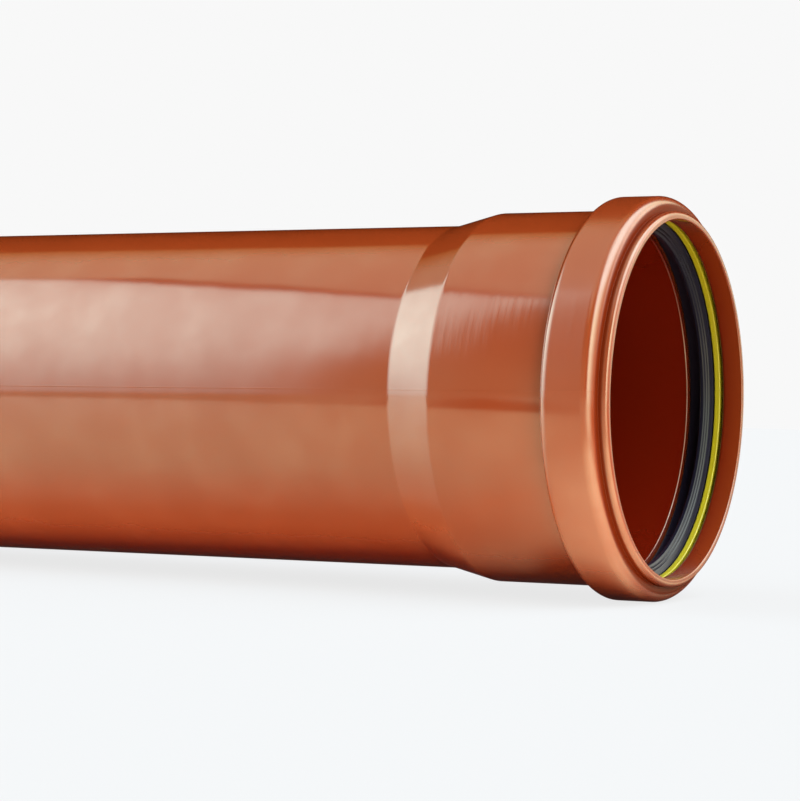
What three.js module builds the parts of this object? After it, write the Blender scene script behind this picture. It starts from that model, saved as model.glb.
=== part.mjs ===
// A short plastic drain pipe with a ring-seal socket, lying unheld on a level floor.
//
// The pipe is one extrusion: a plain chamfered end, the spigot, and an end that was softened and
// blown out into a socket. A groove inside the socket, which shows outside as a bead, holds a
// rubber lip seal and the plastic ring that keeps the seal in its place.
//
// Millimetres, +Z up. The pipe points along X, with the spigot at -X and the mouth at +X.

import * as THREE from "three";

// ---------------------------------------------------------------------------------------------
// Driving dimensions, in millimetres and degrees
// ---------------------------------------------------------------------------------------------

// The pipe
const pipeDiameter = 110; // outside, the size that the pipe is sold by
const pipeWall = 3.2;
const layingLength = 500; // from the spigot's end to where the next spigot stops in the socket
const chamferLength = 6;
const chamferAngle = 15;

// The socket
const spigotClearance = 0.6; // all round, between the next spigot and the socket
const socketWallShare = 0.97; // of the pipe's wall, which belling stretches
const socketDepth = 58.4; // from the mouth to where the cone starts
const coneLength = 15;

// The lip at the mouth, in front of the bead
const lipLength = 3;
const lipWall = 2.5;
const lipRound = 1.3; // outside
const mouthRound = 0.9; // inside, where the next spigot is led in

// The groove inside the socket, and the bead that it raises outside
const grooveDepth = 4.2;
const grooveFront = 7.3; // from the mouth to the groove's front wall
const grooveEdgeRound = 1.5;
const grooveBackRound = 1.1; // inside, between the groove's back wall and its roof
const grooveShoulderRound = 1.5; // inside, between the socket's bore and the back wall
const beadFootRound = 0.7; // outside, where the bead rises from the socket
const beadFlatLength = 11.5;
const beadFrontRound = 3.6;
const lipFootRound = 0.5; // between the bead's front and the lip

// The ring and the seal in the groove
const fitGap = 0.3; // between neighbouring pieces
const ringWidth = 2.4;
const ringThickness = 3.3;
const ringChamfer = 0.35;
const sealBodyThickness = 2.3;
const sealLipGrip = 2.6; // how far the lip reaches in past the next spigot's surface
const sealLipThickness = 1.7;
const sealLipLean = 27; // of the seal's front face, back from upright
const sealFlutes = 2; // fine ones, round the front face
const sealFluteDepth = 0.3;
const sealFluteWidth = 0.5;
const sealFlutePitch = 0.9; // from flute to flute
const sealFluteInset = 0.8; // from the tip of the lip to the first flute

// Fineness of the round shapes
const sides = 72; // flats round the pipe: an even number, so that the pipe lies on a flat
const arcStep = 18; // degrees from point to point along a rounded edge

// ---------------------------------------------------------------------------------------------
// Sizes and places that follow
// ---------------------------------------------------------------------------------------------

const radians = THREE.MathUtils.degToRad;

// Radii
const pipeRadius = pipeDiameter / 2;
const boreRadius = pipeRadius - pipeWall;
const spigotEdgeRadius = pipeRadius - chamferLength * Math.tan(radians(chamferAngle));
const socketWall = pipeWall * socketWallShare;
const socketBoreRadius = pipeRadius + spigotClearance;
const socketRadius = socketBoreRadius + socketWall;
const grooveRadius = socketBoreRadius + grooveDepth;
const beadRadius = grooveRadius + socketWall;
const lipRadius = socketBoreRadius + lipWall;

// Places along the pipe, from the spigot's end
const coneStart = layingLength - coneLength;
const coneEnd = layingLength;
const mouth = layingLength + socketDepth;
const beadFront = mouth - lipLength;
const beadFlatFront = beadFront - beadFrontRound;
const beadFlatBack = beadFlatFront - beadFlatLength;
const grooveFrontWall = mouth - grooveFront;
const grooveBackWall = beadFlatBack - grooveBackRound;

// The back of the bead is two arcs. The large one runs round the groove's back corner, one wall
// further out, and the small one leads it into the socket.
const beadBackRound = grooveBackRound + socketWall;
const backArcs = beadBackRound + beadFootRound;
const backAngle = Math.acos(Math.max(0, 1 - (beadRadius - socketRadius) / backArcs));
const beadFoot = beadFlatBack - backArcs * Math.sin(backAngle);
const grooveCorner = { along: beadFlatBack, radius: grooveRadius - grooveBackRound };

// The ring and the seal
const ringFront = grooveFrontWall - fitGap;
const ringBack = ringFront - ringWidth;
const ringOuterRadius = grooveRadius - fitGap;
const ringInnerRadius = ringOuterRadius - ringThickness;
const sealFront = ringBack - fitGap;
const sealOuterRadius = grooveRadius - fitGap;
const sealBodyRadius = sealOuterRadius - sealBodyThickness;
const sealTipRadius = pipeRadius - sealLipGrip;

// ---------------------------------------------------------------------------------------------
// Shapes
// ---------------------------------------------------------------------------------------------

/** A point of a profile: how far along the pipe, and how far from its axis. */
function at(along, radius) {
  return new THREE.Vector2(radius, along);
}

/**
 * Points along an arc, with its end points. Its angles are in radians, and turn from the way along
 * the pipe towards the way out from the axis.
 */
function arc(centre, round, startAngle, endAngle) {
  const steps = Math.max(2, Math.round(Math.abs(endAngle - startAngle) / radians(arcStep)));
  const points = [];
  for (let i = 0; i <= steps; i += 1) {
    const angle = THREE.MathUtils.lerp(startAngle, endAngle, i / steps);
    const along = centre.along + round * Math.cos(angle);
    points.push(at(along, centre.radius + round * Math.sin(angle)));
  }
  return points;
}

/** A closed profile turned round the pipe's axis, with a flat at its lowest side. */
function turned(profile) {
  const closed = [...profile, profile[0]];
  const geometry = new THREE.LatheGeometry(closed, sides, Math.PI / sides, 2 * Math.PI);
  geometry.rotateZ(-Math.PI / 2);
  return geometry;
}

/** The pipe's wall: along the outside to the mouth, and back along the inside. */
function pipeProfile() {
  const up = Math.PI / 2;
  const foot = { along: beadFoot, radius: socketRadius + beadFootRound };
  const flatFront = { along: beadFlatFront, radius: beadRadius - beadFrontRound };
  const lipFoot = { along: beadFront + lipFootRound, radius: lipRadius + lipFootRound };
  const lipEdge = { along: mouth - lipRound, radius: lipRadius - lipRound };
  const mouthEdge = { along: mouth - mouthRound, radius: socketBoreRadius + mouthRound };
  const grooveEdge = {
    along: grooveFrontWall + grooveEdgeRound,
    radius: socketBoreRadius + grooveEdgeRound,
  };
  const shoulder = {
    along: grooveBackWall - grooveShoulderRound,
    radius: socketBoreRadius + grooveShoulderRound,
  };
  return [
    // outside
    at(0, boreRadius),
    at(0, spigotEdgeRadius),
    at(chamferLength, pipeRadius),
    at(coneStart, pipeRadius),
    at(coneEnd, socketRadius),
    ...arc(foot, beadFootRound, -up, backAngle - up),
    ...arc(grooveCorner, beadBackRound, up + backAngle, up).slice(1),
    ...arc(flatFront, beadFrontRound, up, 0),
    ...arc(lipFoot, lipFootRound, -2 * up, -up),
    ...arc(lipEdge, lipRound, up, 0),
    // inside
    ...arc(mouthEdge, mouthRound, 0, -up),
    ...arc(grooveEdge, grooveEdgeRound, -up, -2 * up),
    at(grooveFrontWall, grooveRadius),
    ...arc(grooveCorner, grooveBackRound, up, 2 * up),
    ...arc(shoulder, grooveShoulderRound, 0, -up),
    at(coneEnd, socketBoreRadius),
    at(coneStart, boreRadius),
  ];
}

/** The retaining ring: a square section with its edges broken. */
function ringProfile() {
  return [
    at(ringBack, ringInnerRadius + ringChamfer),
    at(ringBack, ringOuterRadius - ringChamfer),
    at(ringBack + ringChamfer, ringOuterRadius),
    at(ringFront - ringChamfer, ringOuterRadius),
    at(ringFront, ringOuterRadius - ringChamfer),
    at(ringFront, ringInnerRadius + ringChamfer),
    at(ringFront - ringChamfer, ringInnerRadius),
    at(ringBack + ringChamfer, ringInnerRadius),
  ];
}

/**
 * The seal: a body that fills the groove behind the ring, and a lip that leans back and in from
 * its front. The lip's face has fine flutes round it, near its rounded tip.
 */
function sealProfile() {
  const lean = radians(sealLipLean);
  const face = (radius) => sealFront - (ringInnerRadius - radius) * Math.tan(lean);
  const tipRound = sealLipThickness / 2;
  const tipCentreRadius = sealTipRadius + tipRound;
  const tipCentre = {
    along: face(tipCentreRadius) - tipRound / Math.cos(lean),
    radius: tipCentreRadius,
  };
  const flutes = [];
  for (let i = sealFlutes - 1; i >= 0; i -= 1) {
    const inner = sealTipRadius + sealFluteInset + i * sealFlutePitch;
    const middle = inner + sealFluteWidth / 2;
    const outer = inner + sealFluteWidth;
    flutes.push(at(face(outer), outer), at(face(middle) - sealFluteDepth, middle), at(face(inner), inner));
  }
  const lipBack = face(sealBodyRadius) - sealLipThickness / Math.cos(lean);
  return [
    // up the back and along the outside
    at(lipBack, sealBodyRadius),
    at(grooveBackWall + fitGap, sealBodyRadius),
    ...arc(grooveCorner, grooveBackRound - fitGap, Math.PI, Math.PI / 2),
    at(sealFront, sealOuterRadius),
    // down the front face, over the flutes and round the tip
    at(sealFront, ringInnerRadius),
    ...flutes,
    ...arc(tipCentre, tipRound, -lean, -lean - Math.PI),
  ];
}

// ---------------------------------------------------------------------------------------------
// Pieces
// ---------------------------------------------------------------------------------------------

const terracottaPlastic = new THREE.MeshStandardMaterial({
  color: 0xb0572f,
  roughness: 0.3,
  metalness: 0,
});
const blackRubber = new THREE.MeshStandardMaterial({
  color: 0x1c1c1d,
  roughness: 0.6,
  metalness: 0,
});
const yellowPlastic = new THREE.MeshStandardMaterial({
  color: 0xcdb81a,
  roughness: 0.45,
  metalness: 0,
});

/** One named piece, turned from its profile. */
function piece(name, profile, material) {
  const mesh = new THREE.Mesh(turned(profile), material);
  mesh.name = name;
  return mesh;
}

const pipe = piece("pipe", pipeProfile(), terracottaPlastic);
const rubberSeal = piece("rubber_seal", sealProfile(), blackRubber);
const retainingRing = piece("retaining_ring", ringProfile(), yellowPlastic);

// ---------------------------------------------------------------------------------------------
// The pipe as it lies
// ---------------------------------------------------------------------------------------------

// It rests on two flats: one where the bead's back edge starts, and one where the chamfer starts.
// The bead is the wider, so the mouth end lies a little high.
const flatShare = Math.cos(Math.PI / sides); // of a round's radius, out to the middle of a flat
const restingDrop = (beadRadius - pipeRadius) * flatShare;
const restingTilt = Math.atan2(restingDrop, beadFlatBack - chamferLength);

const lyingPipe = new THREE.Group();
lyingPipe.add(pipe, rubberSeal, retainingRing);
lyingPipe.rotation.y = -restingTilt;

// The origin is on the floor, under the middle of the whole.
const whole = new THREE.Box3().setFromObject(lyingPipe, true);
const middle = whole.getCenter(new THREE.Vector3());
lyingPipe.position.set(-middle.x, -middle.y, -whole.min.z);

const part = new THREE.Group();
part.add(lyingPipe);

export default part;
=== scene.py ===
# %% [markdown]
# # A plastic drain pipe with a ring-seal socket
#
# This lesson dresses a short drain pipe as it lies on a pale floor. The pipe is one extrusion of
# red-brown plastic: a plain, chamfered end, the spigot, and an end that was softened and blown out
# into a socket. A groove in the socket, which shows outside as a bead, holds a black rubber seal
# and the yellow ring that keeps the seal in its place.
#
# All three are bodies of revolution, so one Geometry Nodes lathe turns them all from outlines.

# %% Load the frame
import math

import bpy
from mathutils import Euler, Matrix, Vector


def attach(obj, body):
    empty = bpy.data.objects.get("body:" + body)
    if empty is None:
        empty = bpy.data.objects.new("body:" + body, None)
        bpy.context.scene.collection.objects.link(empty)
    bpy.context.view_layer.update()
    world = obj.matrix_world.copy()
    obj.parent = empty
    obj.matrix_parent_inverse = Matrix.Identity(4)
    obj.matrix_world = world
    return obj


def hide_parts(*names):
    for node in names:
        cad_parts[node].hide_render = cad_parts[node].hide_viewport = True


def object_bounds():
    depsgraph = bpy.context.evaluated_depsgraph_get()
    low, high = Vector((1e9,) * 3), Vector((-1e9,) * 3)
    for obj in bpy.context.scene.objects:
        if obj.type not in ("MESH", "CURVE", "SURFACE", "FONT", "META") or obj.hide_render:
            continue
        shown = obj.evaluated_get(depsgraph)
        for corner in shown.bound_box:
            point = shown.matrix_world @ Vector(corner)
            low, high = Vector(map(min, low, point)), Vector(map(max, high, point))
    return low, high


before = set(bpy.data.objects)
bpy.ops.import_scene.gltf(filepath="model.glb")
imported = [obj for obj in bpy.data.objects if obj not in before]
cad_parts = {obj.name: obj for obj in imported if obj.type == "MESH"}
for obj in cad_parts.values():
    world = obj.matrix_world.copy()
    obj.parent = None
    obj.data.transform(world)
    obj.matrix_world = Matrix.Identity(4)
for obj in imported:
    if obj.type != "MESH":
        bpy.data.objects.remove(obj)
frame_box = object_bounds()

print("frame box, in metres:", [[round(v, 4) for v in corner] for corner in frame_box])

# %% [markdown]
# ## The sizes of the pipe
#
# A pipe maker's drawing gives every radius and every place along the pipe, measured from the
# spigot's end. The lesson keeps those sizes in millimetres, as the drawing does, and turns them
# into metres only where Blender is given them.

# %% Sizes of the pipe, in millimetres
metre = 1000
pipe_radius = 55.0
pipe_wall = 3.2
laying_length = 500.0  # from the spigot's end to the end of the cone, where the next spigot stops
chamfer_length = 6.0
chamfer_angle = math.radians(15)

# %% Sizes of the socket, in millimetres
spigot_clearance = 0.6  # all round, between the next spigot and the socket
socket_wall_share = 0.97  # of the pipe's wall, which belling stretches
socket_depth = 58.4
cone_length = 15.0
lip_length = 3.0
lip_wall = 2.5
bead_flat_length = 11.5
bead_front_round = 3.6
groove_depth = 4.2
groove_front_depth = 7.3  # from the mouth to the groove's front wall
groove_back_round = 1.1

# %% Sizes of the ring and the seal, in millimetres
fit_gap = 0.3  # between neighbouring pieces
ring_width = 2.0
ring_seat = 2.4  # the length of groove that the ring may take
ring_thickness = 3.3
seal_body_thickness = 2.3
seal_lip_grip = 2.6  # how far the lip reaches in past the next spigot's surface
seal_lip_thickness = 1.7
seal_lip_lean = math.radians(27)

# %% Radii and places that follow
bore_radius = pipe_radius - pipe_wall
spigot_edge_radius = pipe_radius - chamfer_length * math.tan(chamfer_angle)
socket_wall = socket_wall_share * pipe_wall
socket_bore_radius = pipe_radius + spigot_clearance
socket_radius = socket_bore_radius + socket_wall
groove_radius = socket_bore_radius + groove_depth
bead_radius = groove_radius + socket_wall
lip_radius = socket_bore_radius + lip_wall

cone_start = laying_length - cone_length
mouth = laying_length + socket_depth
bead_front = mouth - lip_length
bead_flat_front = bead_front - bead_front_round
bead_flat_back = bead_flat_front - bead_flat_length
groove_front = mouth - groove_front_depth
groove_back = bead_flat_back - groove_back_round

ring_back = groove_front - fit_gap - ring_seat
ring_front = ring_back + ring_width
ring_outer_radius = groove_radius - fit_gap
ring_inner_radius = ring_outer_radius - ring_thickness
seal_front = ring_back - fit_gap
seal_body_radius = ring_outer_radius - seal_body_thickness
seal_tip_radius = pipe_radius - seal_lip_grip
print(f"the pipe is {mouth:.1f} mm long, {2 * bead_radius:.1f} mm across its bead")

# %% [markdown]
# ## How the pipe lies
#
# Unheld on a floor, the pipe rests on its bead and on the edge where its chamfer starts, so the
# mouth end lies a little high. The frame's rounds are made of flats, and it lies on one of them.
# The fine pieces here are turned at the radius of the middle of a flat, so that they touch the
# floor where the frame does and stay inside its box.

# %% The pipe's axis in the frame
frame_flats = 72
flat_share = math.cos(math.pi / frame_flats)
resting_drop = (bead_radius - pipe_radius) * flat_share
resting_tilt = math.atan2(resting_drop, bead_flat_back - chamfer_length)
box_low, box_high = frame_box


def tilted(along, radius):
    """Where a point of the upper or lower outline comes, along and up, before the pipe is placed."""
    return (
        along * math.cos(resting_tilt) - radius * math.sin(resting_tilt),
        along * math.sin(resting_tilt) + radius * math.cos(resting_tilt),
    )


lowest = tilted(bead_flat_back, -bead_radius * flat_share)[1]
spigot_top = tilted(0, spigot_edge_radius * flat_share)[0]
spigot_end = Vector((box_low.x - spigot_top / metre, 0, box_low.z - lowest / metre))
lie_down = Euler((0, -resting_tilt, 0))
print(f"the pipe lies tilted by {math.degrees(resting_tilt):.2f} degrees")
print("the middle of the spigot's end is at", [round(v, 4) for v in spigot_end])

# %% [markdown]
# ## Outlines
#
# A lathe needs half of the section. Here an outline is a list of corners, and each corner says how
# round it is, so the big shoulders of the bead and an edge that is hardly broken are drawn by the
# same few lines. Where a corner has room, an extra point stands close to each end of its rounding.
# It holds the long straight faces flat when Blender smooths the shading across the rounding.

# %% Outlines from corners
arc_step = math.radians(7)
holding = 0.35  # millimetres from the end of a rounding to the point that holds the face flat


def rounded(corners):
    """The closed outline through (along, radius, round) corners, as (along, radius) pairs."""
    outline = []
    for i, (along, radius, round_radius) in enumerate(corners):
        corner = Vector((along, radius))
        before = Vector(corners[i - 1][:2]) - corner
        after = Vector(corners[(i + 1) % len(corners)][:2]) - corner
        back, on = before.normalized(), after.normalized()
        turn = math.pi - before.angle(after)
        reach = round_radius * math.tan(turn / 2)
        start, end = corner + back * reach, corner + on * reach
        centre = corner + (back + on).normalized() * (round_radius / math.cos(turn / 2))
        sweep = (start - centre).angle_signed(end - centre)
        steps = max(2, math.ceil(turn / arc_step))
        has_room = min(before.length, after.length) - reach > 2 * holding
        if has_room:
            outline.append(corner + back * (reach + holding))
        for step in range(steps + 1):
            spoke = start - centre
            spoke.rotate(Matrix.Rotation(-sweep * step / steps, 2))
            outline.append(centre + spoke)
        if has_room:
            outline.append(corner + on * (reach + holding))
    return [(p.x, p.y) for p in outline]


square = rounded([(0, 0, 1), (10, 0, 1), (10, 10, 1), (0, 10, 1)])
print(len(square), "points round a square with round corners")

# %% [markdown]
# ## The lathe
#
# Mesh to Curve makes a profile of the outline, and Curve to Mesh carries it round a circle: that is
# a lathe. The circle has the pipe's radius, and the outline is drawn from there, its own X pointing
# out from the axis. Because the path closes on itself, the mesh has no seam to weld. The last
# nodes lay the turned piece down in the frame, realize it and give it its finish.

# %% A small way of making nodes


class NodeMaker:
    """Adds nodes to a tree: a type, its settings, then the values or links of its sockets."""

    def __init__(self, tree):
        self.tree = tree
        tree.nodes.clear()

    def add(self, kind, settings=None, **sockets):
        node = self.tree.nodes.new(kind)
        for name, value in (settings or {}).items():
            setattr(node, name, value)
        for name, value in sockets.items():
            self.plug(node.inputs[name.replace("_", " ")], value)
        return node

    def plug(self, socket, value):
        """Links another node's socket to this one, or sets its value."""
        if isinstance(value, bpy.types.NodeSocket):
            self.tree.links.new(value, socket)
        else:
            socket.default_value = value


# %% The lathe's inputs
lathe = bpy.data.node_groups.new("lathe", "GeometryNodeTree")
lathe_inputs = {
    name: lathe.interface.new_socket(name, in_out="INPUT", socket_type=kind).identifier
    for name, kind in {
        "Outline": "NodeSocketGeometry",
        "Path Radius": "NodeSocketFloat",
        "Sides": "NodeSocketInt",
        "Turn": "NodeSocketVector",
        "Place": "NodeSocketVector",
        "Finish": "NodeSocketMaterial",
    }.items()
}
lathe.interface.new_socket("Piece", in_out="OUTPUT", socket_type="NodeSocketGeometry")
print("the lathe takes", ", ".join(lathe_inputs))

# %% The lathe's nodes
make = NodeMaker(lathe)
given = make.add("NodeGroupInput").outputs
profile = make.add("GeometryNodeMeshToCurve", Mesh=given["Outline"])
path = make.add("GeometryNodeCurvePrimitiveCircle", Radius=given["Path Radius"])
make.plug(path.inputs["Resolution"], given["Sides"])
turned = make.add("GeometryNodeCurveToMesh", Curve=path.outputs["Curve"])
make.plug(turned.inputs["Profile Curve"], profile.outputs["Curve"])
smooth = make.add("GeometryNodeSetShadeSmooth", Geometry=turned.outputs["Mesh"])
laid = make.add("GeometryNodeTransform", Geometry=smooth.outputs["Geometry"])
make.plug(laid.inputs["Rotation"], given["Turn"])
make.plug(laid.inputs["Translation"], given["Place"])
real = make.add("GeometryNodeRealizeInstances", Geometry=laid.outputs["Geometry"])
finished = make.add("GeometryNodeSetMaterial", Geometry=real.outputs["Geometry"])
make.plug(finished.inputs["Material"], given["Finish"])
make.add("NodeGroupOutput", Piece=finished.outputs["Geometry"])
print("the lathe has", len(lathe.nodes), "nodes")

# %% Turning a piece
round_sides = 288
crease_angle = math.radians(32)


def turn_piece(name, outline, finish, body="root"):
    """Turns an outline into a plain mesh that rides on a body and stands for the node of its name."""
    points = [(radius * flat_share - pipe_radius, -along, 0) for along, radius in reversed(outline)]
    ring = [(i, (i + 1) % len(points)) for i in range(len(points))]
    mesh = bpy.data.meshes.new(name + "_outline")
    mesh.from_pydata([Vector(p) / metre for p in points], ring, [])
    piece = bpy.data.objects.new(name + "_turned", mesh)
    bpy.context.scene.collection.objects.link(piece)
    modifier = piece.modifiers.new("lathe", "NODES")
    modifier.node_group = lathe
    modifier[lathe_inputs["Path Radius"]] = pipe_radius / metre
    modifier[lathe_inputs["Sides"]] = round_sides
    modifier[lathe_inputs["Turn"]] = (0, math.pi / 2 - resting_tilt, 0)
    modifier[lathe_inputs["Place"]] = tuple(spigot_end)
    modifier[lathe_inputs["Finish"]] = finish
    bpy.context.view_layer.update()
    evaluated = piece.evaluated_get(bpy.context.evaluated_depsgraph_get())
    turned_mesh = bpy.data.meshes.new_from_object(evaluated)
    piece.modifiers.clear()
    piece.data = turned_mesh
    turned_mesh.set_sharp_from_angle(angle=crease_angle)
    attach(piece, body)
    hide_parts(name)
    triangles = 2 * len(turned_mesh.polygons)
    print(f"{piece.name}: {len(outline)} points in its outline, {triangles} triangles")


# %% [markdown]
# ## Shader maths as plain expressions
#
# A pattern is easier to read as `polish + mottle_dull * mottle` than as a chain of Math nodes. The
# first class wraps one socket of a shader tree, and its operators add the Math nodes. The second
# adds the few other nodes that the finishes, the studio and the floor share.

# %% Expressions on sockets


class Wire:
    """A number in a shader tree that can be used in an expression."""

    def __init__(self, paint, socket):
        self.paint = paint
        self.socket = socket

    def maths(self, operation, *others, swap=False):
        values = [self, *others]
        if swap:
            values.reverse()
        node = self.paint.tree.nodes.new("ShaderNodeMath")
        node.operation = operation
        for socket, value in zip(node.inputs, values):
            self.paint.plug(socket, value)
        return Wire(self.paint, node.outputs[0])

    def __add__(self, other):
        return self.maths("ADD", other)

    def __sub__(self, other):
        return self.maths("SUBTRACT", other)

    def __rsub__(self, other):
        return self.maths("SUBTRACT", other, swap=True)

    def __mul__(self, other):
        return self.maths("MULTIPLY", other)

    def __pow__(self, other):
        return self.maths("POWER", other)

    __radd__ = __add__
    __rmul__ = __mul__

    def at_least(self, limit):
        return self.maths("MAXIMUM", limit)

    def at_most(self, limit):
        return self.maths("MINIMUM", limit)

    def step(self, low, high):
        """0 below low, 1 above high, and a smooth rise between them."""
        node = self.paint.add("ShaderNodeMapRange", {"interpolation_type": "SMOOTHSTEP"})
        for name, value in {"Value": self, "From Min": low, "From Max": high}.items():
            self.paint.plug(node.inputs[name], value)
        return Wire(self.paint, node.outputs["Result"])


# %% The shader trees' own nodes
# A Mix node has a pair of inputs for each kind of value. These are the sockets for colours.
mix_first, mix_second, mix_result = 6, 7, 2


class Paint(NodeMaker):
    """A shader tree whose nodes take and give wires."""

    def plug(self, socket, value):
        super().plug(socket, value.socket if isinstance(value, Wire) else value)

    def split(self, vector):
        node = self.add("ShaderNodeSeparateXYZ", Vector=vector)
        return [Wire(self, node.outputs[axis]) for axis in "XYZ"]

    def join(self, x, y, z):
        return self.add("ShaderNodeCombineXYZ", X=x, Y=y, Z=z).outputs["Vector"]

    def dot(self, first, second):
        """How far one vector reaches along another, or for two directions the cosine between them."""
        node = self.add("ShaderNodeVectorMath", {"operation": "DOT_PRODUCT"})
        self.plug(node.inputs[0], first)
        self.plug(node.inputs[1], second)
        return Wire(self, node.outputs["Value"])

    def noise(self, place, scale, detail=2.0, roughness=0.5):
        node = self.add("ShaderNodeTexNoise", Vector=place, Scale=scale)
        self.plug(node.inputs["Detail"], detail)
        self.plug(node.inputs["Roughness"], roughness)
        return Wire(self, node.outputs["Fac"])

    def blend(self, share, first, second):
        """The first colour where share is 0, and the second where it is 1."""
        node = self.add("ShaderNodeMix", {"data_type": "RGBA"}, Factor=share)
        self.plug(node.inputs[mix_first], first)
        self.plug(node.inputs[mix_second], second)
        return node.outputs[mix_result]

    def cover(self, share, first, second):
        """The first shader where share is 0, and the second where it is 1."""
        node = self.add("ShaderNodeMixShader", Fac=share)
        self.plug(node.inputs[1], first)
        self.plug(node.inputs[2], second)
        return node.outputs["Shader"]


# %% [markdown]
# ## The pipe's own coordinates
#
# Every pattern here follows the pipe, not the room: the rings that belling leaves run round it, and
# the die's lines run along it. A Mapping node turns Object coordinates back into the pipe's own,
# with X along the axis from the spigot's end.

# %% Materials that follow the pipe


def start_material(name):
    """A material, its paint, its surface shader, and the pipe's own coordinates, in metres."""
    material = bpy.data.materials.new(name)
    material.use_nodes = True
    paint = Paint(material.node_tree)
    place = paint.add("ShaderNodeTexCoord").outputs["Object"]
    mapping = paint.add("ShaderNodeMapping", {"vector_type": "TEXTURE"}, Vector=place)
    paint.plug(mapping.inputs["Location"], spigot_end)
    paint.plug(mapping.inputs["Rotation"], Vector(lie_down))
    surface = paint.add("ShaderNodeBsdfPrincipled")
    return material, paint, surface, mapping.outputs["Vector"]


# %% [markdown]
# ## Red-brown pipe plastic
#
# Extruded drain pipe has a smooth, glossy skin, and its colour wanders a little with the mixing of
# the pigment. The bore was never polished by the sizing sleeve, so it is duller than the outside.
# The bore's darker, redder colour is painted shade. Handling has clouded the gloss: a thin coat
# comes and goes with a noise.
#
# The distance from the axis and the place along it tell which part of the pipe a point is on.

# %% Where the bore, the socket and the bead are, in metres
pipe_plastic, paint, surface, place = start_material("pipe_plastic")
along, across, up = paint.split(place)
from_axis = (across ** 2 + up ** 2) ** 0.5

mid_wall = 0.0535  # from the axis
socket_rise = 0.0031  # how much further out the middle of the wall is in the socket
wall_blur = 0.0004
bore_fade = (0.549, 0.558)  # where the bore's finish gives way to the lip's
bell_rise = (0.470, 0.500)  # where the pipe was softened to be belled
bead_rise = (0.5385, 0.5405)

inner_limit = mid_wall + socket_rise * along.step(cone_start / metre, laying_length / metre)
inside = 1 - (from_axis - inner_limit).step(-wall_blur, wall_blur)
inside = inside * (1 - along.step(*bore_fade))
belled = along.step(*bell_rise)
beaded = along.step(*bead_rise)

# %% Pipe plastic's colour
pipe_colour = (0.122, 0.0165, 0.0042, 1)
pipe_colour_dark = (0.108, 0.0145, 0.0037, 1)
# Painted shade: the bore is coloured darker and redder than the outside.
shaded_bore_colour = (0.073, 0.0032, 0.0004, 1)

mottle = paint.noise(place, scale=26, detail=3)
outside_colour = paint.blend(mottle, pipe_colour_dark, pipe_colour)
paint.plug(surface.inputs["Base Color"], paint.blend(inside, outside_colour, shaded_bore_colour))

# %% Pipe plastic's gloss
polish = 0.08  # the roughness of the outside
mottle_dull, bead_dull, bore_dull = 0.05, 0.09, 0.1
unbelled_dull = 0.3  # more in the bore short of the socket
cloud_rise = (0.35, 0.75)
coat_most, coat_roughness = 0.3, 0.1

dull = bead_dull * beaded + bore_dull * inside + unbelled_dull * inside * (1 - belled)
paint.plug(surface.inputs["Roughness"], polish + mottle_dull * mottle + dull)
paint.plug(surface.inputs["IOR"], 1.52)
cloud = paint.noise(place, scale=55, detail=4.0, roughness=0.6)
paint.plug(surface.inputs["Coat Weight"], cloud.step(*cloud_rise) * coat_most)
paint.plug(surface.inputs["Coat Roughness"], coat_roughness)

# %% [markdown]
# ## What extrusion and belling leave in the skin
#
# The skin is never quite true, and gloss shows it. Cooling leaves long, shallow waves, which bend
# the reflections of the lamps, and belling the hot end leaves fine rings round the socket. The die
# leaves a fine line along each side, and the outside is drawn in by a hair towards the cone and
# again towards the bead. All of that is at most tenths of a millimetre high, so it is a bump and
# not a shape. Heights here are in metres.

# %% Waves and rings
wave_stretch = 0.45  # below 1, a noise is drawn out along the pipe
ring_squeeze = 14  # above 1, it is pressed together into rings
wave_height, wave_height_belled = 0.00045, 0.0003  # the second is added where it was belled
ripple_height, ring_height = 0.00004, 0.000012


def swing(place, scale, detail):
    """A noise that swings about zero."""
    return paint.noise(place, scale, detail) - 0.5


waves = swing(paint.join(along * wave_stretch, across, up), scale=22, detail=1.0)
ripple = swing(place, scale=70, detail=1.0)
rings = swing(paint.join(along * ring_squeeze, across, up), scale=42, detail=2.0)
height = waves * (wave_height + wave_height_belled * belled)
height = height + ripple * ripple_height + rings * belled * ring_height

# %% Waists and the die's lines
cone_waist = {"start": 0.435, "length": 0.05, "pull": 0.11}
bead_waist = {"start": 0.502, "length": 0.0365, "pull": 0.17}
line_up, line_half_width, line_height = 0.0015, 0.0003, 0.000012


def waist(start, length, pull):
    """A parabola that draws the skin in from its start, and past its length stays as deep."""
    return (along - start).at_least(0).at_most(length) ** 2 * -pull


waists = waist(**bead_waist) + waist(**cone_waist)
die_line = (1 - (up - line_up).maths("ABSOLUTE").step(0, line_half_width)) * line_height
height = height + waists + die_line
bump = paint.add("ShaderNodeBump", Height=height, Distance=1.0, Strength=1.0)
paint.plug(surface.inputs["Normal"], bump.outputs["Normal"])
for name, size in {"cone": cone_waist, "bead": bead_waist}.items():
    print(f"the waist to the {name} is {size['pull'] * size['length'] ** 2 * metre:.2f} mm deep")

# %% [markdown]
# ## Painted shade in the crease behind the lip
#
# The sharp corner between the bead's front and the lip lies deep in shade. That shade is painted:
# a dull, dark shader covers the glossy one there.

# %% Painted shade in the crease
# Painted shade: the crease's dark colour stands in for the shade in the corner.
crease_shade_colour = (0.060, 0.006, 0.0015, 1)
crease_shade_share = 0.85
crease_back, crease_front = (0.5549, 0.5553), (0.5562, 0.5570)  # metres along the pipe
crease_floor, crease_top = (0.0566, 0.0570), (0.0600, 0.0610)  # metres from the axis

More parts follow.
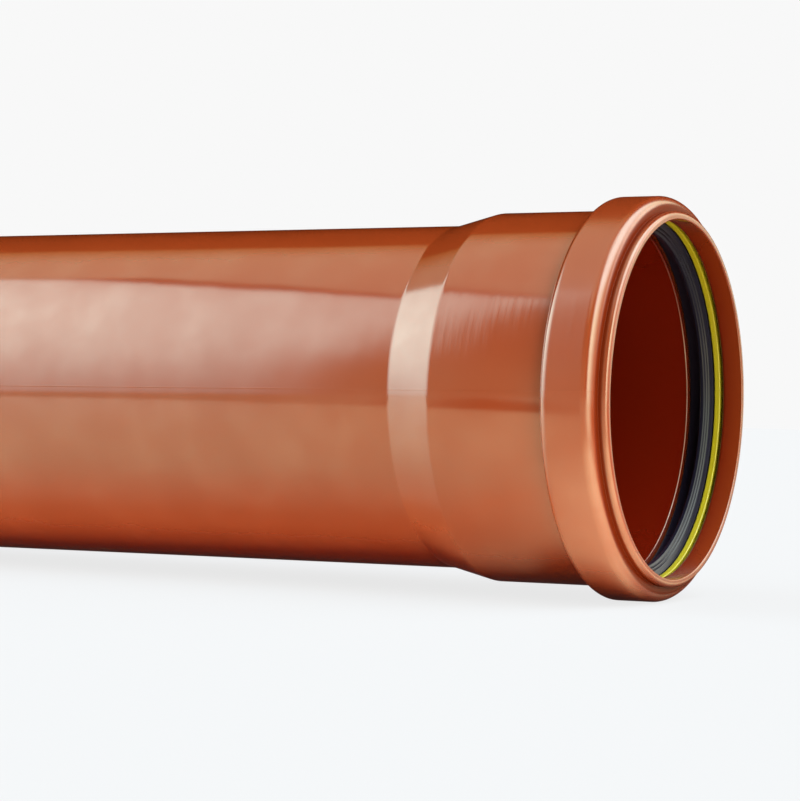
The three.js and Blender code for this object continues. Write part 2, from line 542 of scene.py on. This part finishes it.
crease = along.step(*crease_back) * (1 - along.step(*crease_front))
crease = crease * from_axis.step(*crease_floor) * (1 - from_axis.step(*crease_top))
crease_shade = paint.add("ShaderNodeBsdfDiffuse", Color=crease_shade_colour)
with_crease_shade = paint.cover(crease * crease_shade_share, surface.outputs["BSDF"], crease_shade.outputs["BSDF"])
paint.add("ShaderNodeOutputMaterial", Surface=with_crease_shade)
print("pipe plastic has", len(pipe_plastic.node_tree.nodes), "nodes")

# %% [markdown]
# ## Seal rubber and ring plastic
#
# The seal is soft black rubber, greased at the works, so it is smooth. The blue it shows where it
# mirrors the lamps is painted into its colour. The ring is moulded in a bright yellow, so that a
# fitter sees at a glance that it sits in its place. A fine noise in the roughness keeps both from
# looking like glass.

# %% Seal rubber
# A little blue is painted into the black: a painted reflection of the lamps.
rubber_colour = (0.0055, 0.005, 0.013, 1)
rubber_roughness, rubber_grain = 0.20, 0.06

seal_rubber, paint, surface, place = start_material("seal_rubber")
grain = paint.noise(place, scale=300)
paint.plug(surface.inputs["Base Color"], rubber_colour)
paint.plug(surface.inputs["Roughness"], rubber_roughness + rubber_grain * grain)
paint.plug(surface.inputs["IOR"], 1.24)
paint.add("ShaderNodeOutputMaterial", Surface=surface.outputs["BSDF"])

# %% Ring plastic
ring_colour = (0.23, 0.19, 0.004, 1)
ring_roughness, ring_grain = 0.36, 0.1

ring_plastic, paint, surface, place = start_material("ring_plastic")
grain = paint.noise(place, scale=200)
paint.plug(surface.inputs["Base Color"], ring_colour)
paint.plug(surface.inputs["Roughness"], ring_roughness + ring_grain * grain)
paint.plug(surface.inputs["IOR"], 1.5)
paint.add("ShaderNodeOutputMaterial", Surface=surface.outputs["BSDF"])
print("finishes:", [m.name for m in (pipe_plastic, seal_rubber, ring_plastic)])

# %% [markdown]
# ## The pipe
#
# Its outline runs along the outside to the mouth and back along the inside. The socket is blown
# out of the warm pipe against a mould, so the bead stands up from it with a sharp foot and soft
# shoulders. Each of those shows as a thin bright line where it catches a lamp. The lip's outer edge
# is well rounded, and its inner one only broken, so that the next spigot is led in.

# %% How round the pipe's edges are, in millimetres
edge_round = 0.25
cone_round = 3.0
bead_foot_round = 0.3
bead_back_round = 2.5
bead_back_shift = 0.5  # how far the back rounding runs on into the bead's flat
lip_foot_round = 0.12
lip_round, mouth_round = 1.4, 0.45
groove_edge_round = 1.5
groove_front_round = 0.2
groove_shoulder_round = 0.6

# %% The pipe's outline
bead_back = bead_flat_back + bead_back_shift - bead_back_round
pipe_corners = [
    (0, bore_radius, edge_round),
    (0, spigot_edge_radius, edge_round),
    (chamfer_length, pipe_radius, edge_round),
    (cone_start, pipe_radius, cone_round),
    (laying_length, socket_radius, cone_round),
    (bead_back, socket_radius, bead_foot_round),
    (bead_back, bead_radius, bead_back_round),
    (bead_front, bead_radius, bead_front_round),
    (bead_front, lip_radius, lip_foot_round),
    (mouth, lip_radius, lip_round),
    (mouth, socket_bore_radius, mouth_round),
    (groove_front, socket_bore_radius, groove_edge_round),
    (groove_front, groove_radius, groove_front_round),
    (groove_back, groove_radius, groove_back_round),
    (groove_back, socket_bore_radius, groove_shoulder_round),
    (laying_length, socket_bore_radius, cone_round),
    (cone_start, bore_radius, cone_round),
]
turn_piece("pipe", rounded(pipe_corners), pipe_plastic)

# %% [markdown]
# ## The retaining ring
#
# A plain moulded ring with broken edges. It is snapped into the groove's front and keeps the seal
# from being pushed out when a pipe is drawn back.

# %% The ring's outline
ring_edge = 0.35
ring_corners = [
    (ring_back, ring_inner_radius, ring_edge),
    (ring_back, ring_outer_radius, ring_edge),
    (ring_front, ring_outer_radius, ring_edge),
    (ring_front, ring_inner_radius, ring_edge),
]
turn_piece("retaining_ring", rounded(ring_corners), ring_plastic)

# %% [markdown]
# ## The seal
#
# Its body fills the back of the groove and its lip leans back and in, so that the next spigot folds
# it over and water pressure pushes it tighter. Two fine flutes run round the lip's face.

# %% The flutes in the lip's face, in millimetres
flute_count = 2
flute_depth = 0.3
flute_width = 0.5
flute_pitch = 0.9
flute_inset = 0.8  # from the tip of the lip to the first flute
flute_round = 0.06


def lip_face(radius):
    """Where the lip's leaning front face is at a radius, along the pipe."""
    return seal_front - (ring_inner_radius - radius) * math.tan(seal_lip_lean)


flutes = []
for i in reversed(range(flute_count)):
    inner = seal_tip_radius + flute_inset + i * flute_pitch
    middle, outer = inner + flute_width / 2, inner + flute_width
    flutes.append((lip_face(outer), outer, flute_round))
    flutes.append((lip_face(middle) - flute_depth, middle, flute_round))
    flutes.append((lip_face(inner), inner, flute_round))
print("the flutes take", len(flutes), "corners")

# %% The seal's outline
seal_edge = 0.2
seal_heel_round = 0.15
seal_brow_round = 0.3
seal_tip_round = 0.6
lip_back_shift = seal_lip_thickness / math.cos(seal_lip_lean)
seal_corners = [
    (lip_face(seal_body_radius) - lip_back_shift, seal_body_radius, seal_edge),
    (groove_back + fit_gap, seal_body_radius, seal_edge),
    (groove_back + fit_gap, ring_outer_radius, groove_back_round - fit_gap),
    (seal_front, ring_outer_radius, seal_heel_round),
    (seal_front, ring_inner_radius, seal_brow_round),
    *flutes,
    (lip_face(seal_tip_radius), seal_tip_radius, seal_tip_round),
    (lip_face(seal_tip_radius) - lip_back_shift, seal_tip_radius, seal_tip_round),
]
turn_piece("rubber_seal", rounded(seal_corners), seal_rubber)

# %% [markdown]
# ## The studio
#
# Gloss shows the room, so the lamps are what draws this pipe. One tall softbox stands to the left
# of the camera, and above it, past a thin dark gap, a dim ceiling glows. A weak glow round the
# camera fills the front. A larger and brighter lamp leans over from the right and lights the
# mouth. Behind the pipe the studio is dark but for one patch at the right, and the dark draws the
# pipe's upper edge. All of that is painted on the world by direction, with the lamps' straight
# edges along great circles, so the object is lit the same wherever it lies.

# %% Directions in the studio
world = bpy.data.worlds.new("studio")
bpy.context.scene.world = world
world.use_nodes = True
sky = Paint(world.node_tree)
look = sky.add("ShaderNodeTexCoord").outputs["Generated"]
least_cosine = 0.001  # a negative number can't be raised to a broken power


def towards(azimuth, elevation):
    """A direction: azimuth from the camera's side (-Y) towards the spigot (-X), in degrees."""
    a, e = math.radians(azimuth), math.radians(elevation)
    return Vector((-math.sin(a) * math.cos(e), -math.cos(a) * math.cos(e), math.sin(e)))


def facing(direction):
    """The cosine of the angle between where a ray goes and a direction."""
    return sky.dot(look, direction)


def glow(azimuth, elevation, focus):
    """Light that is strongest in one direction and fades away from it, faster with more focus."""
    return facing(towards(azimuth, elevation)).at_least(least_cosine) ** focus


def edge(first, second, softness):
    """1 on the left of the great circle from one direction to another, seen from inside, else 0."""
    normal = towards(*second).cross(towards(*first)).normalized()
    return facing(normal).step(-softness, softness)


high = facing(Vector((0, 0, 1)))  # the sine of a ray's elevation

# %% The left softbox
# Corners are given as azimuth and elevation, in degrees.
box_foot, box_bend, box_shoulder = (29.9, 5), (31.3, 27), (38.3, 46)
right_soft, left_soft, crisp = 0.022, 0.02, 0.006
box_brightness = 8.8

box_right = edge(box_bend, box_foot, right_soft) * edge(box_shoulder, box_bend, right_soft)
box_left = edge((88.5, 0), (88.5, 60), left_soft)
box = box_right * edge((87.5, 54.1), (47, 54), crisp) * box_left
box_glow = glow(66, 24, focus=4.8) * box_brightness

# %% The gap, the ceiling and the front
ceiling_span = math.radians(122)  # from the horizon in front, up and over, to its back edge
ceiling_soft = 0.008
ceiling_rise = (0.45, 0.75)  # sines of the elevation
ceiling_brightness = 1.7
ceiling_patch, front_patch = (0.72, 0.90), (0.66, 0.90)  # cosines where one starts and is full
front_low, front_drop, front_fade = 0.9, 0.5, (0.1, 0.6)

ceiling_normal = Vector((0, -math.sin(ceiling_span), -math.cos(ceiling_span)))
ceiling_edge = facing(ceiling_normal).step(-ceiling_soft, ceiling_soft)
gap = edge((87.5, 56.0), (47, 55.3), crisp) * box_left
overhead = (1 - box) * (1 - gap) * ceiling_edge * high.step(*ceiling_rise)
ceiling_glow = glow(45, 60, focus=2) * ceiling_brightness
ceiling_glow = ceiling_glow * facing(towards(62, 66)).step(*ceiling_patch)
front = (1 - box) * facing(towards(18, 15)).step(*front_patch)
front = front * (front_low - front_drop * high.step(*front_fade))

# %% The right lamp and the patch at the back
right_rise, side_rise = (-0.08, 0.18), (-0.02, 0.08)
over_rise = (0.48, 0.80)  # from the lamp's low part to its high part
crown_drop, crown_rise = 0.4, (0.93, 0.99)
low_drop, low_fade = 0.9, (0.2, 0.98)
back_patch = (0.93, 0.985)  # cosines, as for the other patches

past_edge = facing(towards(-128, 0))
right_edge = past_edge.step(*right_rise)
right_side = facing(towards(-80, 0)).step(*side_rise)
over_right = high.step(*over_rise)
right_high = right_edge * over_right * right_side
right_glow = glow(-75, 55, focus=1.6) * (1 - crown_drop * high.step(*crown_rise))
right_low = right_edge * (1 - over_right) * right_side
right_low = right_low * (1 - low_drop * past_edge.step(*low_fade))
back = (1 - over_right) * facing(towards(-137, 22)).step(*back_patch)

# %% The world's light
lamps = {
    "box": (box * box_glow, (0.94, 1.15, 1.00)),
    "ceiling": (overhead, (0.45, 0.32, 0.06)),
    "ceiling_glow": (overhead * ceiling_glow, (0.88, 0.98, 0.77)),
    "front": (front, (1.1, 1.15, 0.65)),
    "right_high": (right_high * right_glow, (10.4, 11.8, 10.6)),
    "right_low": (right_low, (10.6, 11.5, 7.8)),
    "back": (back * right_side, (3.6, 3.4, 3.0)),
}
channels = []
for channel in range(3):
    total = 0
    for strength, tint in lamps.values():
        total = strength * tint[channel] + total
    channels.append(total)
background = sky.add("ShaderNodeBackground", Color=sky.join(*channels), Strength=1.0)
sky.add("ShaderNodeOutputWorld", Surface=background.outputs["Background"])
print("the studio has", len(lamps), "lamps and", len(world.node_tree.nodes), "nodes")

# %% [markdown]
# ## The floor
#
# To the camera the floor is a plain pale sheet that takes only a faint shadow. What the pipe's
# gloss mirrors is another matter: a warm table with painted light and shade on it, red light from
# the pipe painted close by, painted shade right under the pipe and behind its mouth, a painted pool
# of light beside the mouth, and beyond the table's edge the pale room. A Light Path node tells the
# two apart. All places are in metres from the origin.

# %% How far a spot is from the pipe
floor_paper = bpy.data.materials.new("floor_paper")
floor_paper.use_nodes = True
paint = Paint(floor_paper.node_tree)
spot = paint.add("ShaderNodeTexCoord").outputs["Object"]
spot_along, spot_across = paint.split(spot)[:2]
beyond = (spot_along.maths("ABSOLUTE") - box_high.x).at_least(0)
from_pipe = (beyond ** 2 + spot_across ** 2) ** 0.5


def distance_from(point_along, point_across):
    """How far a spot of the floor is from a point of it."""
    return ((spot_along - point_along) ** 2 + (spot_across - point_across) ** 2) ** 0.5


# %% Which way a spot lies from the mouth
mouth_along, mouth_across = 0.275, -0.03
from_mouth = paint.join(spot_along - mouth_along, spot_across - mouth_across, 0)
way = paint.add("ShaderNodeVectorMath", {"operation": "NORMALIZE"})
paint.plug(way.inputs[0], from_mouth)


def way_faces(direction):
    """The cosine of the angle between the way from the mouth to a spot and a direction."""
    return paint.dot(way.outputs["Vector"], direction)


# %% Where red light from the pipe and shade are painted on the table
cool_rise, cool_end = (0.02, 0.09), (0.18, 0.26)  # from the pipe, and along it
bead_shade = 0.012  # how much further the shade reaches out under the bead
bead_shade_rise, bead_shade_fall = (0.232, 0.250), (0.262, 0.278)
under_rise, under_fall = (-0.034, -0.008), (0.05, 0.12)  # across the pipe
under_end = (0, 0.02)  # past the pipe's ends
away, away_rise, away_start = Vector((0.5, 0.866, 0)), (0.35, 0.80), (0.05, 0.12)

cool = from_pipe.step(*cool_rise).maths("MAXIMUM", spot_along.step(*cool_end))
bead_reach = bead_shade * spot_along.step(*bead_shade_rise)
bead_reach = bead_reach * (1 - spot_along.step(*bead_shade_fall))
under = (spot_across + bead_reach).step(*under_rise) * (1 - spot_across.step(*under_fall))
under = under * (1 - beyond.step(*under_end))
from_mouth_far = distance_from(mouth_along, mouth_across).step(*away_start)
behind_mouth = way_faces(away).step(*away_rise) * from_mouth_far
in_shade = under.maths("MAXIMUM", behind_mouth)

# %% The table
# Painted light and shade: the pipe's red glow, the shade and the pool of light are painted into  the
# table's colour and glow, and the whole table glows a little by itself.
table_colour = (0.71, 0.56, 0.37, 1)
pipe_glow = (0.95, 0.25, 0.10, 1)
shade_colour = (0.060, 0.022, 0.020, 1)
pool_colour = (6.2, 5.3, 3.1, 1)
pool_along, pool_across, pool_edge = 0.338, -0.095, (0.02, 0.12)
table_roughness = 0.3
table_lift = 0.75

warm_board = paint.blend(cool, pipe_glow, table_colour)
board_colour = paint.blend(in_shade, warm_board, shade_colour)
in_pool = (1 - distance_from(pool_along, pool_across).step(*pool_edge)) * (1 - in_shade)
board = paint.add("ShaderNodeBsdfPrincipled", Roughness=table_roughness)
paint.plug(board.inputs["Base Color"], board_colour)
paint.plug(board.inputs["Emission Color"], paint.blend(in_pool, board_colour, pool_colour))
paint.plug(board.inputs["Emission Strength"], table_lift)

# %% The room beyond the table
# The room is lit at the left. A dark gap follows, and past it the far right and front are lit.
room_colour = (1.05, 1, 0.6, 1)
room_lift, room_least = 1.5, 0.1
gap_normal, gap_edge = Vector((0.900, -0.435, 0)), 0.242
gap_fade_out, gap_fade_in = (gap_edge - 0.10, gap_edge + 0.03), (gap_edge + 0.02, gap_edge + 0.08)
far_right, far_right_focus, far_right_lift = Vector((0.79, -0.61, 0)), 14, 5.5
far_front, far_front_rise, far_front_lift = Vector((0.17, -0.98, 0)), (0.1, 0.5), 1.8

across_gap = paint.dot(spot, gap_normal)
room_light = 1 - across_gap.step(*gap_fade_out)
beyond_gap = across_gap.step(*gap_fade_in)
right_room = way_faces(far_right).at_least(0) ** far_right_focus * far_right_lift
front_room = way_faces(far_front).step(*far_front_rise) * far_front_lift
room_glow = room_lift * room_light + room_least + (right_room + front_room) * beyond_gap
room = paint.add("ShaderNodeEmission", Color=room_colour)
paint.plug(room.inputs["Strength"], room_glow * (1 - behind_mouth))

# %% The table's edge
table_edge_normal, table_edge, table_edge_soft = Vector((0.574, -0.819, 0)), 0.398, 0.01
across_edge = paint.dot(spot, table_edge_normal)
on_table = 1 - across_edge.step(table_edge - table_edge_soft, table_edge + table_edge_soft)
mirrored = paint.cover(on_table, room.outputs["Emission"], board.outputs["BSDF"])

# %% The pale sheet that the camera sees
white = (1, 1, 1, 1)
paper_shade = (0.037, 0.0385, 0.0513, 1)
paper_lift = 0.786

paper = paint.add("ShaderNodeBsdfDiffuse", Color=paper_shade)
lift = paint.add("ShaderNodeEmission", Color=white, Strength=paper_lift)
sheet = paint.add("ShaderNodeAddShader")
paint.plug(sheet.inputs[0], paper.outputs["BSDF"])
paint.plug(sheet.inputs[1], lift.outputs["Emission"])
seen = paint.add("ShaderNodeLightPath").outputs["Is Camera Ray"]
mixed = paint.cover(seen, mirrored, sheet.outputs["Shader"])
paint.add("ShaderNodeOutputMaterial", Surface=mixed)
print("floor paper has", len(floor_paper.node_tree.nodes), "nodes")

# %% The floor's disc
floor_radius, rim_points = 12.0, 96


def stage_mesh(name, vertices, faces, material):
    """A mesh that belongs to the studio and not to the object."""
    mesh = bpy.data.meshes.new(name)
    mesh.from_pydata(vertices, [], faces)
    mesh.materials.append(material)
    thing = bpy.data.objects.new(name, mesh)
    bpy.context.scene.collection.objects.link(thing)
    return thing


rim = []
for i in range(rim_points):
    angle = math.tau * i / rim_points
    rim.append((floor_radius * math.cos(angle), floor_radius * math.sin(angle), 0))
stage_mesh("floor", rim, [tuple(range(rim_points))], floor_paper)
print("the floor is", 2 * floor_radius, "metres across")

# %% [markdown]
# ## The backdrop
#
# A large pale box stands round everything. Only the camera sees it: it casts no light and shows in
# no reflection, so the painted studio does all the lighting.

# %% Backdrop
paper_tone = 0.939
backdrop_half = 14.0  # metres from the middle to a wall

backdrop_paper = bpy.data.materials.new("backdrop_paper")
backdrop_paper.use_nodes = True
paint = Paint(backdrop_paper.node_tree)
even = paint.add("ShaderNodeEmission", Color=white, Strength=paper_tone)
paint.add("ShaderNodeOutputMaterial", Surface=even.outputs["Emission"])

ends = (-backdrop_half, backdrop_half)
corners = [(x, y, z) for x in ends for y in ends for z in ends]
walls = [(0, 1, 3, 2), (4, 6, 7, 5), (0, 4, 5, 1), (2, 3, 7, 6), (0, 2, 6, 4), (1, 5, 7, 3)]
backdrop = stage_mesh("backdrop", corners, walls, backdrop_paper)
for ray in ("diffuse", "glossy", "transmission", "volume_scatter", "shadow"):
    setattr(backdrop, "visible_" + ray, False)
print("the backdrop has", len(walls), "walls")

# %% [markdown]
# ## The camera
#
# It stands beyond the mouth, to the side and a little under the line of the pipe's axis, and looks
# across at the socket and back along the pipe. Its place is given in the pipe's own millimetres and
# its turn in degrees, and the way the pipe lies is added to both. The lens is shifted, because the
# picture's middle isn't where the lens points.

# %% Camera
camera_place = Vector((841.76, -725.62, -8.69))  # along, across and up, from the spigot's end
yaw, pitch, roll = (math.radians(v) for v in (26.2696, 1.9457, 0.9704))
picture_side = 801
focal_pixels = 2506.2
axis_right, axis_down = 62.06, 109.03  # of the lens's axis from the picture's middle, in pixels
sensor = 36.0

level = Vector((math.cos(yaw), math.sin(yaw), 0))
ahead = Vector(
    (-math.sin(yaw) * math.cos(pitch), math.cos(yaw) * math.cos(pitch), -math.sin(pitch))
)
upright = level.cross(ahead)
right = level * math.cos(roll) + upright * math.sin(roll)
top = upright * math.cos(roll) - level * math.sin(roll)
turn = Matrix((right, top, -ahead)).transposed()

camera_data = bpy.data.cameras.new("camera")
camera_data.sensor_width = sensor
camera_data.lens = focal_pixels / picture_side * sensor
camera_data.shift_x = -axis_right / picture_side
camera_data.shift_y = axis_down / picture_side
camera_data.clip_start, camera_data.clip_end = 0.01, 60
camera = bpy.data.objects.new("camera", camera_data)
bpy.context.scene.collection.objects.link(camera)
offset = camera_place / metre
offset.rotate(lie_down)
lying_turn = (lie_down.to_matrix() @ turn).to_4x4()
camera.matrix_world = Matrix.Translation(spigot_end + offset) @ lying_turn
bpy.context.scene.camera = camera
bpy.context.scene.view_settings.view_transform = "Standard"
bpy.context.scene.view_settings.look = "None"
print(f"lens {camera_data.lens:.2f} mm at", [round(v, 3) for v in camera.location])
